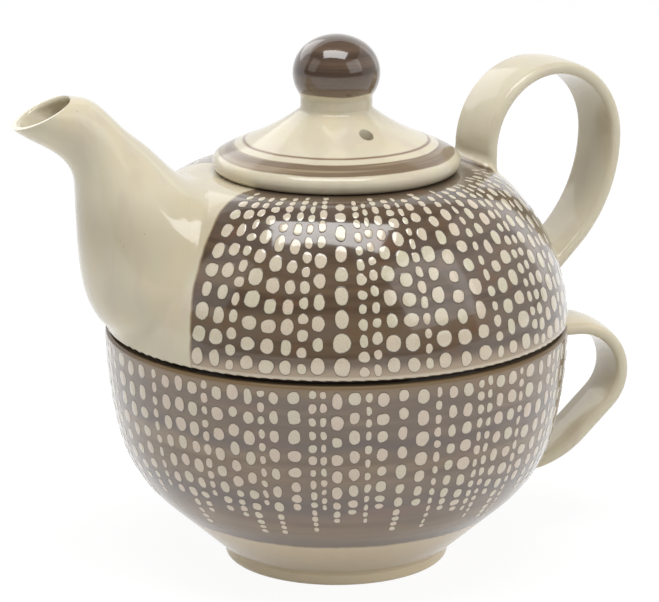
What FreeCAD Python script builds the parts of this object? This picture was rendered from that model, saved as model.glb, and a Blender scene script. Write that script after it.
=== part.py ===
import FreeCAD, Part
import math
import operator
import os
import Sketcher

# Tea for one: a small stoneware teapot that stands in the mouth of its own cup, with a loose lid.
# Millimetres and degrees. Z is the axis that all three pieces were turned about, the origin is the
# middle of the cup's foot on the table, the spout points along -X and both handles along +X.

Vector = FreeCAD.Vector
SIZES = {
    # Cup: a bowl with a steep upper wall, a round belly and a straight cone down to a low foot
    "cup_radius": 62.5,
    "cup_height": 65.2,
    "cup_wall": 4.2,
    "cup_side_radius": 125.0,
    "cup_belly_height": 38.0,
    "cup_belly_radius": 36.4,
    "cup_floor_height": 7.2,
    "cup_floor_radius": 27.5,
    "cup_floor_round": 6.0,
    "rim_round": 0.9,
    "foot_radius": 30.6,
    "foot_height": 3.0,
    "foot_ring_width": 4.6,
    "foot_recess": 1.8,
    "foot_round": 1.2,
    # Strap that both handles are pulled from
    "strap_width": 17.0,
    "strap_thickness": 4.4,
    "strap_edge_radius": 1.7,
    # Cup handle: out from under the rim, round a full bend, then a long slope back to the belly
    "ear_drop": 6.1,
    "ear_sunk": 9.0,
    "ear_reach": 5.7,
    "ear_bend_radius": 13.0,
    "ear_bend_angle": 135.0,
    "ear_slope_length": 12.0,
    "ear_tail_radius": 26.0,
    "ear_tail_angle": 36.0,
    "ear_tail_length": 14.0,
    "ear_blend": 2.0,
    # Teapot: its side and its shoulder are two arcs that run into each other
    "pot_height": 42.2,
    "pot_wall": 4.4,
    "pot_fullness": 1.15,
    "pot_edge_round": 0.8,
    "pot_corner_radius": 12.5,
    "pot_floor_thickness": 4.4,
    "land_radius": 34.4,
    "mouth_radius": 26.5,
    "mouth_round": 0.8,
    "seat_clearance": 1.0,
    "seat_radius": 60.0,
    "seam_gap": 1.0,
    "base_depth": 8.8,
    "base_round": 3.0,
    "base_ring_width": 6.0,
    "base_recess": 1.6,
    # Teapot handle: a tall loop from the shoulder back to the side, its plane swung a little
    "loop_gap": 5.4,
    "loop_rise": 2.9,
    "loop_sunk": 10.0,
    "loop_top_radius": 21.0,
    "loop_back_radius": 37.5,
    "loop_back_angle": 48.5,
    "loop_tail_length": 19.5,
    "loop_swing": 15.0,
    "loop_blend": 3.0,
    # Spout: the blend to the pot, the rounded lip and the pierced wall behind the bore
    "spout_blend": 6.0,
    "lip_round": 1.0,
    "strainer_hole": 4.6,
    "strainer_pitch": 7.4,
    "strainer_start": 45.0,
    "strainer_height": 22.0,
    "strainer_length": 17.0,
    "strainer_tilt": 24.0,
    # Lid: a slightly hollow dome with a rolled rim and a flattened ball on a short neck
    "lid_radius": 33.2,
    "lid_roll_radius": 2.5,
    "lid_roll_turn": 60.0,
    "lid_band_radius": 60.0,
    "lid_ring_radius": 24.7,
    "lid_ring_height": 8.1,
    "lid_dome_radius": 60.0,
    "lid_dome_height": 16.7,
    "lid_wall": 3.8,
    "neck_radius": 9.6,
    "neck_blend": 1.4,
    "knob_radius": 11.7,
    "knob_side_radius": 9.6,
    "knob_top_radius": 13.4,
    "knob_height": 26.2,
    "skirt_clearance": 0.9,
    "skirt_depth": 6.0,
    "skirt_thickness": 3.0,
    "vent_diameter": 3.8,
    "vent_distance": 16.2,
    "vent_angle": -79.0,
}

# Sections across the spout from its root inside the pot to its mouth. Each is an ellipse: how far
# its centre lies past the cup's radius and over the seam, its half width, its depth as a share of
# its width, how far it tips back, and the wall left round the bore.
SPOUT_SECTIONS = {
    "root": (-14.1, 21.9, 30.0, 0.78, 31.9, 4.6),
    "heel": (-5.2, 28.8, 23.0, 0.89, 33.0, 4.2),
    "belly": (-2.0, 35.8, 18.2, 0.97, 33.5, 3.8),
    "neck": (2.5, 48.0, 11.7, 0.965, 33.5, 3.0),
    "throat": (7.6, 57.0, 8.5, 0.985, 35.0, 2.5),
    "lip": (13.3, 60.5, 8.8, 0.965, 51.0, 2.2),
    "mouth": (17.7, 62.6, 8.9, 0.95, 64.0, 1.9),
}
SPOUT_FIELDS = ("past", "over", "width", "share", "tip", "wall")

doc = FreeCAD.newDocument("tea_for_one")


class Size:
    """A number together with the formula that works it out from the sheet of sizes."""

    def __init__(self, value, formula):
        self.value = value
        self.formula = formula

    def __add__(self, other):
        return combine(self, "+", other)

    def __radd__(self, other):
        return combine(other, "+", self)

    def __sub__(self, other):
        return combine(self, "-", other)

    def __rsub__(self, other):
        return combine(other, "-", self)

    def __mul__(self, other):
        return combine(self, "*", other)

    def __rmul__(self, other):
        return combine(other, "*", self)

    def __truediv__(self, other):
        return combine(self, "/", other)


OPERATIONS = {"+": operator.add, "-": operator.sub, "*": operator.mul, "/": operator.truediv}


def combine(left, sign, right):
    left = left if isinstance(left, Size) else Size(left, str(left))
    right = right if isinstance(right, Size) else Size(right, str(right))
    value = OPERATIONS[sign](left.value, right.value)
    return Size(value, f"({left.formula} {sign} {right.formula})")


def sine(angle):
    return Size(math.sin(math.radians(angle.value)), f"sin({angle.formula})")


def cosine(angle):
    return Size(math.cos(math.radians(angle.value)), f"cos({angle.formula})")


def square_root(number):
    return Size(math.sqrt(number.value), f"sqrt({number.formula})")


def fill_sheet():
    """Write every size into the sheet and hand back the sizes by name."""
    rows = dict(SIZES)
    for section, numbers in SPOUT_SECTIONS.items():
        for field, number in zip(SPOUT_FIELDS, numbers):
            rows[f"spout_{section}_{field}"] = number
    sheet = doc.addObject("Spreadsheet::Sheet", "Sizes")
    for row, (name, number) in enumerate(rows.items(), start=1):
        sheet.set(f"A{row}", name)
        sheet.set(f"B{row}", str(number))
        sheet.setAlias(f"B{row}", name)
    doc.recompute()
    return {name: Size(number, f"Sizes.{name}") for name, number in rows.items()}


size = fill_sheet()
ON_AXIS = 0
LINE = None
SMOOTH = "smooth"


def new_body(label):
    body = doc.addObject("PartDesign::Body", label)
    body.Label = label
    return body


def new_sketch(body, role, name):
    """A sketch on one of the body's own origin planes."""
    plane = next(item for item in body.Origin.OriginFeatures if item.Role == role)
    sketch = body.newObject("Sketcher::SketchObject", name)
    sketch.AttachmentSupport = (plane, "")
    sketch.MapMode = "FlatFace"
    return sketch


def place_sketch(sketch, x=None, y=None, z=None, turn_axis=None, turn=None):
    """Move a sketch off its plane, in the plane's own directions, and turn it about one of them."""
    if turn_axis is not None:
        rotation = FreeCAD.Rotation(turn_axis, turn.value)
        sketch.AttachmentOffset = FreeCAD.Placement(Vector(0, 0, 0), rotation)
        sketch.setExpression("AttachmentOffset.Rotation.Angle", turn.formula)
    for direction, distance in (("x", x), ("y", y), ("z", z)):
        if distance is not None:
            sketch.setExpression(f"AttachmentOffset.Base.{direction}", distance.formula)


def number_of(coordinate):
    return coordinate.value if isinstance(coordinate, Size) else float(coordinate)


def arc_centre(start, end, radius, side):
    """Centre of the arc from start to end. It lies to the left of the way there where side is 1."""
    (x0, y0), (x1, y1) = start, end
    half = math.hypot(x1 - x0, y1 - y0) / 2
    rise = math.sqrt(max(radius**2 - half**2, 0)) * side
    return ((x0 + x1) / 2 - (y1 - y0) / (2 * half) * rise,
            (y0 + y1) / 2 + (x1 - x0) / (2 * half) * rise)


def hold(sketch, kind, places, length):
    number = sketch.addConstraint(Sketcher.Constraint(kind, *places, length.value))
    sketch.setExpression(f"Constraints[{number}]", length.formula)


def draw_edge(sketch, start, end, shape):
    """One line or arc. Gives its number and which of its ends is the start and the end."""
    start = [number_of(coordinate) for coordinate in start]
    end = [number_of(coordinate) for coordinate in end]
    if shape is LINE:
        segment = Part.LineSegment(Vector(*start, 0), Vector(*end, 0))
        return sketch.addGeometry(segment, False), 1, 2
    radius, side = shape
    x, y = arc_centre(start, end, radius.value, side)
    angles = [math.atan2(point[1] - y, point[0] - x) for point in (start, end)]
    circle = Part.Circle(Vector(x, y, 0), Vector(0, 0, 1), radius.value)
    first, last = angles if side > 0 else reversed(angles)
    number = sketch.addGeometry(Part.ArcOfCircle(circle, first, last), False)
    hold(sketch, "Radius", (number,), radius)
    return (number, 1, 2) if side > 0 else (number, 2, 1)


def draw(sketch, corners, closed=True):
    """Join the corners in turn. A corner is its two coordinates, the edge that leaves it, which is
    LINE or an arc's radius and side, and SMOOTH where its two edges run into each other. A
    coordinate that is a size is held to it, and a plain number is only a first guess."""
    count = len(corners) if closed else len(corners) - 1
    edges = []
    for place in range(count):
        x0, y0, shape = corners[place][:3]
        x1, y1 = corners[(place + 1) % len(corners)][:2]
        edges.append(draw_edge(sketch, (x0, y0), (x1, y1), shape))
    for place, (x, y, _, *joint) in enumerate(corners):
        number, first, last = edges[min(place, count - 1)]
        end = first if place < count else last
        for coordinate, kind, axis in ((x, "DistanceX", -2), (y, "DistanceY", -1)):
            if coordinate is ON_AXIS:
                sketch.addConstraint(Sketcher.Constraint("PointOnObject", number, end, axis))
            elif isinstance(coordinate, Size):
                hold(sketch, kind, (-1, 1, number, end), coordinate)
        if place < count and (closed or place > 0):
            before, _, before_end = edges[place - 1]
            kind = "Tangent" if SMOOTH in joint else "Coincident"
            sketch.addConstraint(Sketcher.Constraint(kind, before, before_end, number, end))


def turned(body, kind, name, corners):
    """A Revolution or a Groove of a closed outline about the Z axis."""
    sketch = new_sketch(body, "XZ_Plane", f"{name}_outline")
    draw(sketch, corners)
    feature = body.newObject(f"PartDesign::{kind}", name)
    feature.Profile = sketch
    feature.ReferenceAxis = (sketch, ["V_Axis"])
    feature.Angle = 360.0
    doc.recompute()
    return feature


def round_edges(body, name, feature, edges, radius):
    fillet = body.newObject("PartDesign::Fillet", name)
    fillet.Base = (feature, edges)
    fillet.Radius = radius.value
    fillet.setExpression("Radius", radius.formula)
    doc.recompute()
    return fillet


def circles_at(feature, *places):
    """Names of the turned edges at the given radii and heights."""
    names = []
    for number, edge in enumerate(feature.Shape.Edges, start=1):
        middle = edge.valueAt((edge.FirstParameter + edge.LastParameter) / 2)
        for radius, height in places:
            across = abs(math.hypot(middle.x, middle.y) - radius.value)
            if across < 0.02 and abs(middle.z - height.value) < 0.02:
                names.append(f"Edge{number}")
    return names


def meeting_edges(feature, first, second):
    """Names of the edges of a feature where what two features added meets."""
    names = []
    added = [item.AddSubShape.transformed(item.Placement.toMatrix()) for item in (first, second)]
    skins = [Part.Compound(shape.Faces) for shape in added]
    for number, edge in enumerate(feature.Shape.Edges, start=1):
        span = edge.LastParameter - edge.FirstParameter
        points = [edge.valueAt(edge.FirstParameter + share * span) for share in (0.1, 0.5, 0.9)]
        gaps = [Part.Vertex(point).distToShape(skin)[0] for point in points for skin in skins]
        if max(gaps) < 0.02:
            names.append(f"Edge{number}")
    return names


def shortest_edge_past(feature, distance):
    """Name of the shortest edge that lies wholly farther out than a distance on the spout's side."""
    names = {}
    for number, edge in enumerate(feature.Shape.Edges, start=1):
        span = edge.LastParameter - edge.FirstParameter
        points = [edge.valueAt(edge.FirstParameter + step * span / 8) for step in range(9)]
        if max(point.x for point in points) < -1 * distance.value:
            names[edge.Length] = f"Edge{number}"
    return names[min(names)]


def strap_section(sketch, upright):
    """The pulled strap cut across: two gently curved faces between two round edges."""
    reach = size["strap_width"] / 2 - size["strap_edge_radius"]
    edge = size["strap_edge_radius"]
    half = size["strap_thickness"] / 2
    # A face and an edge run into each other on the line through both their centres
    face = (reach * reach / (half - edge) + edge + half) / 2
    across = reach * face / (face - edge)
    thick = (face - half) * edge / (face - edge)
    corners = [(-1 * across, thick, (face, -1)), (across, thick, (edge, -1)),
               (across, -1 * thick, (face, -1)), (-1 * across, -1 * thick, (edge, -1))]
    if upright:
        corners = [(y, x, (radius, 1)) for x, y, (radius, _) in corners]
    draw(sketch, corners)


def path_corners(x, y, heading, moves):
    """Corners of a path that sets out along a heading and turns clockwise by smooth arcs. A move
    is a length to go straight, or the radius and the angle of a bend."""
    corners = []
    for move in moves:
        if isinstance(move, Size):
            corners.append((x, y, LINE))
            x = x + move * cosine(heading)
            y = y + move * sine(heading)
        else:
            radius, angle = move
            corners.append((x, y, (radius, -1)))
            x = x + radius * (sine(heading) - sine(heading - angle))
            y = y + radius * (cosine(heading - angle) - cosine(heading))
            heading = heading - angle
    return corners + [(x, y, LINE)]


def swept(body, name, section, path):
    pipe = body.newObject("PartDesign::AdditivePipe", name)
    pipe.Profile = section
    pipe.Spine = path
    doc.recompute()
    return pipe


def on_cup_side(depth):
    """A point the given depth inside the cup's side, where side and belly share one direction."""
    radius = size["cup_side_radius"]
    fall = size["cup_height"] - size["cup_belly_height"]
    level = square_root(radius * radius - fall * fall)
    share = (radius - depth) / radius
    return size["cup_radius"] - radius + level * share, size["cup_height"] - fall * share


def bowl_corners(x, z, inset):
    """Cup side from the corner of its foot or floor up to the rim, set in from the outside by a
    wall: a straight cone that touches the round belly, the belly, and the steep upper side."""
    belly = size["cup_belly_radius"] - inset
    centre_x, centre_z = on_cup_side(size["cup_belly_radius"])
    across = x - centre_x
    up = z - centre_z
    squares = across * across + up * up
    length = square_root(squares - belly * belly)
    touch_x = centre_x + belly * (belly * across - length * up) / squares
    touch_z = centre_z + belly * (belly * up + length * across) / squares
    return [(x, z, LINE),
            (touch_x, touch_z, (belly, 1)),
            (*on_cup_side(inset), (size["cup_side_radius"] - inset, 1)),
            (size["cup_radius"] - inset, size["cup_height"], LINE)]


def make_cup():
    body = new_body("cup")
    height = size["cup_height"]
    ring = size["foot_radius"] - size["foot_ring_width"]
    form = turned(body, "Revolution", "bowl", [
        (ON_AXIS, size["foot_recess"], LINE),
        (ring, size["foot_recess"], LINE),
        (ring, ON_AXIS, LINE),
        (size["foot_radius"], ON_AXIS, LINE),
        *bowl_corners(size["foot_radius"], size["foot_height"], Size(0.0, "0")),
        (ON_AXIS, height, LINE),
    ])
    path = new_sketch(body, "XZ_Plane", "ear_path")
    start = size["cup_radius"] - size["ear_sunk"]
    draw(path, path_corners(start, height - size["ear_drop"], Size(0.0, "0"), [
        size["ear_sunk"] + size["ear_reach"],
        (size["ear_bend_radius"], size["ear_bend_angle"]),
        size["ear_slope_length"],
        (size["ear_tail_radius"], size["ear_tail_angle"]),
        size["ear_tail_length"],
    ]), closed=False)
    section = new_sketch(body, "YZ_Plane", "ear_section")
    place_sketch(section, y=height - size["ear_drop"], z=start)
    strap_section(section, upright=False)
    ear = swept(body, "ear", section, path)
    joints = meeting_edges(ear, form, ear)
    round_edges(body, "ear_joints", ear, joints, size["ear_blend"])
    hollow = turned(body, "Groove", "inside", [
        (ON_AXIS, size["cup_floor_height"], LINE),
        *bowl_corners(size["cup_floor_radius"], size["cup_floor_height"], size["cup_wall"]),
        (size["cup_radius"] - size["cup_wall"], height + size["cup_wall"], LINE),
        (ON_AXIS, height + size["cup_wall"], LINE),
    ])
    inner = size["cup_radius"] - size["cup_wall"]
    rim = circles_at(hollow, (size["cup_radius"], height), (inner, height))
    rounded = round_edges(body, "rim_edges", hollow, rim, size["rim_round"])
    foot = circles_at(rounded, (size["foot_radius"], Size(0.0, "0")), (ring, Size(0.0, "0")))
    standing = round_edges(body, "foot_edges", rounded, foot, size["foot_round"])
    floor = circles_at(standing, (size["cup_floor_radius"], size["cup_floor_height"]))
    round_edges(body, "floor_edge", standing, floor, size["cup_floor_round"])
    return body


def pot_arcs():
    """Radii of the pot's side and shoulder. The side leaves the seam upright, the shoulder comes
    in level at the land, and both share one direction where they meet."""
    across = size["cup_radius"] - size["land_radius"]
    height = size["pot_height"]
    squares = across * across + height * height
    side = squares / (2 * across) * size["pot_fullness"]
    shoulder = (2 * across * side - squares) / (2 * (side - height))
    return side, shoulder


def pot_join(inset):
    """Where side and shoulder meet, set in from the outside by a wall."""
    side, shoulder = pot_arcs()
    across = size["cup_radius"] - size["land_radius"]
    share = (side - inset) / (side - shoulder)
    return (size["cup_radius"] - side + (side - across) * share,
            size["cup_height"] + (size["pot_height"] - shoulder) * share)


def spout_section(body, name, inset):
    section = name.split("_")[-1]
    past, over, width, share, tip, wall = (size[f"spout_{section}_{field}"] for field in SPOUT_FIELDS)
    half_width = width - wall * inset
    half_depth = width * share - wall * inset
    sketch = new_sketch(body, "YZ_Plane", name)
    place_sketch(sketch, y=size["cup_height"] + over, z=-1 * (size["cup_radius"] + past),
                 turn_axis=Vector(1, 0, 0), turn=tip)
    ellipse = Part.Ellipse(Vector(0, 0, 0), half_width.value, half_depth.value)
    number = sketch.addGeometry(ellipse, False)
    sketch.exposeInternalGeometry(number)
    sketch.addConstraint(Sketcher.Constraint("Coincident", number, 3, -1, 1))
    sketch.addConstraint(Sketcher.Constraint("Horizontal", number + 1))
    hold(sketch, "Distance", (number + 1,), 2 * half_width)
    hold(sketch, "Distance", (number + 2,), 2 * half_depth)
    return sketch


def spout_loft(body, kind, name, inset):
    """Loft through the spout's sections, whole for its outside or less its wall for its bore."""
    sections = [spout_section(body, f"{name}_{section}", inset) for section in SPOUT_SECTIONS]
    loft = body.newObject(f"PartDesign::{kind}", name)
    loft.Profile = sections[0]
    loft.Sections = sections[1:]
    doc.recompute()
    return loft


def pierce_strainer(body):
    """Holes through the pot's own wall into the spout: one in the middle and six round it."""
    sketch = new_sketch(body, "YZ_Plane", "strainer_holes")
    place_sketch(sketch, y=size["cup_height"] + size["strainer_height"], z=-1 * size["strainer_start"],
                 turn_axis=Vector(1, 0, 0), turn=size["strainer_tilt"])
    radius = size["strainer_hole"] / 2
    for place in range(7):
        pitch = size["strainer_pitch"]
        turn = Size(60.0 * place, str(60 * place))
        x, y = (pitch * cosine(turn), pitch * sine(turn)) if place < 6 else (ON_AXIS, ON_AXIS)
        middle = Vector(number_of(x), number_of(y), 0)
        circle = sketch.addGeometry(Part.Circle(middle, Vector(0, 0, 1), radius.value), False)
        hold(sketch, "Radius", (circle,), radius)
        if x is ON_AXIS:
            sketch.addConstraint(Sketcher.Constraint("Coincident", circle, 3, -1, 1))
        else:
            hold(sketch, "DistanceX", (-1, 1, circle, 3), x)
            hold(sketch, "DistanceY", (-1, 1, circle, 3), y)
    pocket = body.newObject("PartDesign::Pocket", "strainer")
    pocket.Profile = sketch
    pocket.setExpression("Length", size["strainer_length"].formula)
    doc.recompute()


def make_teapot():
    body = new_body("teapot")
    seam = size["cup_height"]
    top = seam + size["pot_height"]
    bottom = seam - size["base_depth"]
    base = size["cup_radius"] - size["cup_wall"] - size["seat_clearance"]
    side, shoulder = pot_arcs()
    spout = spout_loft(body, "AdditiveLoft", "spout", 0)
    spout_loft(body, "SubtractiveLoft", "bore", 1)
    ring = base - size["base_ring_width"]
    edge = seam + size["seam_gap"]
    edge_round = size["pot_edge_round"]
    raised = size["seam_gap"] + edge_round
    inward = side - edge_round
    across = square_root(inward * inward - raised * raised)
    share = side / inward
    join = pot_join(Size(0.0, "0"))
    form = turned(body, "Revolution", "form", [
        (ON_AXIS, bottom + size["base_recess"], LINE),
        (ring, bottom + size["base_recess"], LINE),
        (ring, bottom, LINE),
        (base, bottom, LINE),
        (base, seam, LINE),
        (size["seat_radius"], seam, LINE),
        (size["seat_radius"], edge, LINE),
        (size["cup_radius"] - side + across, edge, (edge_round, 1)),
        (size["cup_radius"] - side + across * share, seam + raised * share, (side, 1)),
        (*join, (shoulder, 1)),
        (size["land_radius"], top, LINE),
        (ON_AXIS, top, LINE),
    ])
    joints = meeting_edges(form, form, spout)
    round_edges(body, "spout_joints", form, joints, size["spout_blend"])
    leg = size["land_radius"] + size["loop_gap"]
    path = new_sketch(body, "XZ_Plane", "loop_path")
    place_sketch(path, x=leg, turn_axis=Vector(0, 1, 0), turn=size["loop_swing"])
    quarter = Size(90.0, "90")
    draw(path, path_corners(Size(0.0, "0"), top - size["loop_sunk"], quarter, [
        size["loop_sunk"] + size["loop_rise"],
        (size["loop_top_radius"], quarter),
        (size["loop_top_radius"], quarter),
        (size["loop_back_radius"], size["loop_back_angle"]),
        size["loop_tail_length"],
    ]), closed=False)
    section = new_sketch(body, "XY_Plane", "loop_section")
    place_sketch(section, x=leg, z=top - size["loop_sunk"],
                 turn_axis=Vector(0, 0, 1), turn=size["loop_swing"])
    strap_section(section, upright=True)
    loop = swept(body, "loop", section, path)
    joints = meeting_edges(loop, form, loop)
    round_edges(body, "loop_joints", loop, joints, size["loop_blend"])
    wall = size["pot_wall"]
    floor = bottom + size["base_recess"] + size["pot_floor_thickness"]
    hollow = turned(body, "Groove", "inside", [
        (ON_AXIS, top + wall, LINE),
        (size["mouth_radius"], top + wall, LINE),
        (size["mouth_radius"], top - wall, LINE),
        (size["land_radius"], top - wall, (shoulder - wall, -1)),
        (*pot_join(wall), (side - wall, -1), SMOOTH),
        (base.value - 0.8, floor.value + 15.0, (size["pot_corner_radius"], -1), SMOOTH),
        (base.value - 12.0, floor, LINE, SMOOTH),
        (ON_AXIS, floor, LINE),
    ])
    pierce_strainer(body)
    strained = body.Tip
    edges = circles_at(strained, (base, bottom))
    based = round_edges(body, "base_edge", strained, edges, size["base_round"])
    edges = circles_at(based, (size["mouth_radius"], top), (size["mouth_radius"], top - wall))
    rounded = round_edges(body, "mouth_edges", based, edges, size["mouth_round"])
    inner_lip = shortest_edge_past(rounded, size["cup_radius"] + size["spout_throat_past"])
    round_edges(body, "lip_edge", rounded, [inner_lip], size["lip_round"])
    return body


def make_lid():
    body = new_body("lid")
    seat = size["cup_height"] + size["pot_height"]
    centre = seat + size["knob_height"]
    side = size["knob_side_radius"]
    crown = size["knob_top_radius"]
    neck = size["neck_radius"]
    # Side and crown of the knob run into each other on the line through both their centres
    off_axis = size["knob_radius"] - side
    drop = square_root((crown - side) * (crown - side) - off_axis * off_axis)
    share = crown / (crown - side)
    knob_top = centre + crown - drop
    neck_top = centre - square_root(side * side - (neck - off_axis) * (neck - off_axis))
    roll = size["lid_roll_radius"]
    ring = size["lid_ring_radius"]
    skirt = size["mouth_radius"] - size["skirt_clearance"]
    inner = skirt - size["skirt_thickness"]
    dome_top = seat + size["lid_dome_height"]
    form = turned(body, "Revolution", "form", [
        (ON_AXIS, knob_top, (crown, -1)),
        (off_axis * share, knob_top - crown + drop * share, (side, -1)),
        (neck, neck_top, LINE),
        (neck, dome_top, (size["lid_dome_radius"], 1)),
        (ring, seat + size["lid_ring_height"], (size["lid_band_radius"], -1)),
        (size["lid_radius"] - roll + roll * cosine(size["lid_roll_turn"]),
         seat + roll + roll * sine(size["lid_roll_turn"]), (roll, -1)),
        (size["lid_radius"] - roll, seat, LINE),
        (skirt, seat, LINE),
        (skirt, seat - size["skirt_depth"], LINE),
        (inner, seat - size["skirt_depth"], LINE),
        (inner, seat + size["lid_ring_height"] - size["lid_wall"], LINE),
        (ON_AXIS, dome_top - size["lid_wall"], LINE),
    ])
    edges = circles_at(form, (neck, neck_top), (neck, dome_top))
    necked = round_edges(body, "neck_edges", form, edges, size["neck_blend"])
    sketch = new_sketch(body, "XY_Plane", "vent_hole")
    radius = size["vent_diameter"] / 2
    x = size["vent_distance"] * cosine(size["vent_angle"])
    y = size["vent_distance"] * sine(size["vent_angle"])
    circle = Part.Circle(Vector(x.value, y.value, 0), Vector(0, 0, 1), radius.value)
    number = sketch.addGeometry(circle, False)
    hold(sketch, "Radius", (number,), radius)
    hold(sketch, "DistanceX", (-1, 1, number, 3), x)
    hold(sketch, "DistanceY", (-1, 1, number, 3), y)
    vent = body.newObject("PartDesign::Pocket", "vent")
    vent.Profile = sketch
    vent.Type = "ThroughAll"
    vent.Reversed = True
    doc.recompute()
    return body


def check_document(bodies):
    """Stop if anything failed to build."""
    for item in doc.Objects:
        if "Invalid" in item.State or "Error" in item.State:
            raise RuntimeError(f"{item.Name} did not build")
    for body in bodies:
        if body.Shape.isNull() or not body.Shape.isValid() or len(body.Shape.Solids) != 1:
            raise RuntimeError(f"{body.Label} is not one sound solid")


bodies = [make_cup(), make_teapot(), make_lid()]
doc.recompute()
check_document(bodies)
os.makedirs("parts", exist_ok=True)
for body in bodies:
    body.Shape.exportStep(f"parts/{body.Label}.step")
    print(body.Label, "volume", round(body.Shape.Volume / 1000, 1), "cm3")
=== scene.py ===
# %% [markdown]
# # A stoneware tea-for-one set
# A small teapot stands in the mouth of its own cup, and a domed lid with a ball knob closes it.
# The three pieces come from the CAD model with their true shape and size. This lesson dresses them:
# a studio first, then the glazes, and at the end the rows of pale slip dots that run round the pot
# and the cup.

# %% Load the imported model
import math

import bpy
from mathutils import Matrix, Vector


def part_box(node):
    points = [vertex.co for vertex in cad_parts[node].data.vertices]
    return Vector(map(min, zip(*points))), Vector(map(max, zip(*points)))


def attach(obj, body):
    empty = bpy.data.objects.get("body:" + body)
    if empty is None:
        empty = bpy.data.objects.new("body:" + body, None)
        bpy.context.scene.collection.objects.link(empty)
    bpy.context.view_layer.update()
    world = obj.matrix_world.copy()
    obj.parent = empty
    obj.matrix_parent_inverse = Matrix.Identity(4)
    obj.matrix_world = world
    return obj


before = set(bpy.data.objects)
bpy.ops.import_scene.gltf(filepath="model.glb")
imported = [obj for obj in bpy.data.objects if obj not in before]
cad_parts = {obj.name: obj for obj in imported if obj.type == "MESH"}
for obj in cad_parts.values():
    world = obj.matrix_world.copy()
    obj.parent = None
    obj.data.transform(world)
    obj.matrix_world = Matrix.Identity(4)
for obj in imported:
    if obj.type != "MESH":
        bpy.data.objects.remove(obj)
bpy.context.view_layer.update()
MM = 0.001
for piece in sorted(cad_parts):
    low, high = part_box(piece)
    print(piece, "spans, in mm:", [round(value / MM, 1) for value in (*low, *high)])

# %% [markdown]
# ## The camera
# The picture was taken from a little above and from the spout's side, with a long lens, so the rim
# of the cup is a flat ellipse. The camera looks at the middle of the seam between pot and cup. A
# small lens shift puts that spot where the picture has it, and leaves the viewing angle alone. The
# shift is a share of the picture's width.

# %% Camera
SEAM = Vector((0.0, 0.0, 65.0)) * MM
PICTURE_WIDTH = 659


def seen_from(azimuth, elevation, distance):
    """A place around the seam: azimuth 0 is the front, and positive turns to the right."""
    turn, rise = math.radians(azimuth), math.radians(elevation)
    return SEAM + distance * Vector((
        math.sin(turn) * math.cos(rise), -math.cos(turn) * math.cos(rise), math.sin(rise)))


def aimed(thing, place):
    """Puts a lamp or the camera at a place, looking at the seam."""
    bpy.context.scene.collection.objects.link(thing)
    thing.location = place
    thing.rotation_euler = (SEAM - place).to_track_quat("-Z", "Y").to_euler()
    return thing


long_lens = bpy.data.cameras.new("long_lens")
long_lens.sensor_width = 36.0
long_lens.lens = 171.26
long_lens.shift_x = -6.91 / PICTURE_WIDTH
long_lens.shift_y = 20.46 / PICTURE_WIDTH
camera = aimed(
    bpy.data.objects.new("camera", long_lens),
    seen_from(azimuth=-18.0, elevation=15.49, distance=0.850))
bpy.context.scene.camera = camera
bpy.context.scene.view_settings.view_transform = "Standard"
print("camera at, in mm:", [round(value / MM) for value in camera.location])

# %% [markdown]
# ## Two small helpers for nodes
# Glazes and patterns are both trees of nodes. They could be built by hand in the node editor, but a
# sum of five terms is easier to read as a line of Python. A `Wire` is one output of a node, and a
# sum written with wires adds the Math nodes for it. A `Bench` is a tree in the making: its `node`
# method adds any node, sets its options first, and then its sockets. Numbers stand for the sockets
# that share a name, such as the two values of a Math node.

# %% Wires
class Wire:
    """One output of a node, which sums can be written with."""

    def __init__(self, bench, socket):
        self.bench = bench
        self.socket = socket

    def maths(self, operation, *values):
        """A Math node on some values, which may be numbers or wires."""
        return self.bench.node(
            "ShaderNodeMath", {"operation": operation}, dict(enumerate(values)))

    def also(self, output):
        """Another output of the same node."""
        return Wire(self.bench, self.socket.node.outputs[output])

    def __add__(self, other):
        return self.maths("ADD", self, other)

    def __radd__(self, other):
        return self.maths("ADD", other, self)

    def __sub__(self, other):
        return self.maths("SUBTRACT", self, other)

    def __rsub__(self, other):
        return self.maths("SUBTRACT", other, self)

    def __mul__(self, other):
        return self.maths("MULTIPLY", self, other)

    def __rmul__(self, other):
        return self.maths("MULTIPLY", other, self)

    def __truediv__(self, other):
        return self.maths("DIVIDE", self, other)

    def __rtruediv__(self, other):
        return self.maths("DIVIDE", other, self)

    def __abs__(self):
        return self.maths("ABSOLUTE", self)

    def __gt__(self, other):
        return self.maths("GREATER_THAN", self, other)

    def __lt__(self, other):
        return self.maths("LESS_THAN", self, other)

    def floor(self):
        return self.maths("FLOOR", self)

    def most(self, other):
        return self.maths("MAXIMUM", self, other)


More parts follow.
